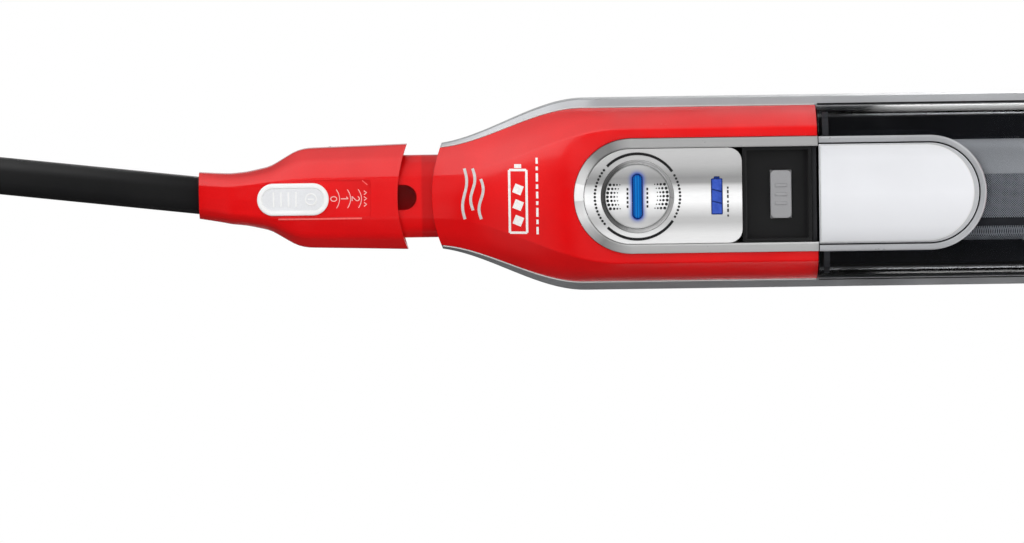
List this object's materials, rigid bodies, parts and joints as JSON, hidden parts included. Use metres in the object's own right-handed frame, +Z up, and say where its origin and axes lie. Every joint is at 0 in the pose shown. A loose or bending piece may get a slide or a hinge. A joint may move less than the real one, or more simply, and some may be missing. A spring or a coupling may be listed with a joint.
{
  "type": "cordless stick vacuum",
  "caption": "Upright cordless stick vacuum: floor head on a tilting, swivelling neck, body with display and clear dust container, push-on handle.",
  "frame": {"origin": "on the floor, under the middle of the vacuum's overall box; the body's long axis rises through it", "axes": "+Z up along the body, -Y the front with the display, +X across the floor head to the side the black tube leans to"},
  "size_m": [0.272, 0.1755, 1.0995],
  "materials": {
    "red_gloss": "glossy moulded red",
    "silver_satin": "satin silver paint",
    "panel_silver": "fine satin silver",
    "dark_plastic": "matt, fine texture",
    "black_plastic": "matt black",
    "grey_plastic": "matt",
    "white_plastic": "matt",
    "rubber": "matt rubber",
    "smoke": "clear smoked plastic, polished",
    "blue_light": "translucent light pipe",
    "board": "green circuit board",
    "steel": "brushed",
    "aluminium": "as machined",
    "filter_paper": "pleated filter paper",
    "mesh_steel": "fine woven mesh",
    "cells": "shrink sleeve",
    "bristle": "nylon bristle",
    "foam": "open-cell foam"
  },
  "bodies": {
    "head": {"head_base": "black_plastic", "head_cover": "red_gloss", "brush_tunnel": "dark_plastic", "brush_cap": "dark_plastic", "drive_belt": "rubber", "brush_motor": "steel", "tilt_pins": "steel", "glide_pads": "rubber"},
    "brush": {"brush_core": "grey_plastic", "brush_bristles": "bristle"},
    "brush_motor_shaft": {"motor_pulley": "steel"},
    "wheel_left": {"rear_wheel_left": "rubber"},
    "wheel_right": {"rear_wheel_right": "rubber"},
    "yoke": {"tilt_yoke": "black_plastic"},
    "neck": {"neck_tube": "dark_plastic"},
    "body": {"rear_housing": "silver_satin", "front_shell": "red_gloss", "neck_spigot": "red_gloss", "bulkhead": "dark_plastic", "bottom_cap": "dark_plastic", "panel_frame": "panel_silver", "control_panel": "panel_silver", "sensor_ring": "grey_plastic", "sensor_disc": "panel_silver", "sensor_light": "blue_light", "battery_light": "blue_light", "display_board": "board", "finger_well": "black_plastic", "suction_duct": "dark_plastic", "motor_can": "aluminium", "motor_mount": "rubber", "battery_case": "grey_plastic", "battery_cells": "cells", "control_board": "board", "exhaust_grille": "dark_plastic", "exhaust_filter": "foam", "charging_socket": "black_plastic", "housing_screws": "steel", "button_spring": "steel"},
    "button": {"container_button": "grey_plastic"},
    "container": {"dust_container": "smoke", "container_frame": "panel_silver", "container_pad": "panel_silver", "filter_lid": "dark_plastic", "filter_seal": "rubber", "filter_mesh": "mesh_steel", "pleated_filter": "filter_paper"},
    "flap": {"inlet_flap": "rubber"},
    "fan": {"fan_rotor": "white_plastic"},
    "handle": {"handle_front": "red_gloss", "handle_rear": "red_gloss", "switch_block": "black_plastic", "lever_spring": "steel", "handle_tube": "black_plastic", "grip_body": "black_plastic", "grip_sleeve": "rubber", "grip_cap": "black_plastic", "handle_screws": "steel"},
    "slider": {"speed_slider": "white_plastic"},
    "lever": {"release_lever": "grey_plastic"}
  },
  "joints": [
    {"name": "brush_spin", "type": "hinge", "parent": "head", "child": "brush", "pos_m": [0, -0.057, 0.021], "axis": [1, 0, 0], "continuous": true},
    {"name": "brush_motor_spin", "type": "hinge", "parent": "head", "child": "brush_motor_shaft", "pos_m": [0, -0.014, 0.036], "axis": [1, 0, 0], "continuous": true},
    {"name": "wheel_left_spin", "type": "hinge", "parent": "head", "child": "wheel_left", "pos_m": [-0.048, 0.0515, 0.014], "axis": [1, 0, 0], "continuous": true},
    {"name": "wheel_right_spin", "type": "hinge", "parent": "head", "child": "wheel_right", "pos_m": [0.048, 0.0515, 0.014], "axis": [1, 0, 0], "continuous": true},
    {"name": "head_tilt", "type": "hinge", "parent": "head", "child": "yoke", "pos_m": [0, 0.02, 0.034], "axis": [-1, 0, 0], "range_deg": [0, 75]},
    {"name": "head_swivel", "type": "hinge", "parent": "yoke", "child": "neck", "pos_m": [0, 0.02, 0.08], "axis": [0, 0, 1], "range_deg": [-45, 45]},
    {"name": "body_lift", "type": "slide", "parent": "neck", "child": "body", "axis": [0, 0, 1], "range_m": [0, 0.045]},
    {"name": "container_button_press", "type": "slide", "parent": "body", "child": "button", "axis": [0, 1, 0], "range_m": [0, 0.003], "stiffness_N_per_m": 1500, "springref_m": -0.001, "deforming": ["button_spring"]},
    {"name": "container_slide", "type": "slide", "parent": "body", "child": "container", "axis": [0, -1, 0], "range_m": [0, 0.09]},
    {"name": "flap_swing", "type": "hinge", "parent": "container", "child": "flap", "pos_m": [0, -0.0046, 0.202], "axis": [-1, 0, 0], "range_deg": [0, 70]},
    {"name": "fan_spin", "type": "hinge", "parent": "body", "child": "fan", "pos_m": [0, -0.014, 0.398], "axis": [0, 0, 1], "continuous": true},
    {"name": "handle_slide", "type": "slide", "parent": "body", "child": "handle", "axis": [0, 0, 1], "range_m": [-0.0215, 0.08]},
    {"name": "speed_slide", "type": "slide", "parent": "handle", "child": "slider", "axis": [0, 0, -1], "range_m": [0, 0.0217]},
    {"name": "lever_press", "type": "hinge", "parent": "handle", "child": "lever", "pos_m": [0, 0.023, 0.6815], "axis": [1, 0, 0], "range_deg": [0, 6], "stiffness_Nm_per_rad": 0.6, "springref_deg": -2.86}
  ],
  "couplings": [
    {"joint": "brush_motor_spin", "follows": "brush_spin", "ratio": 1.8367}
  ]
}
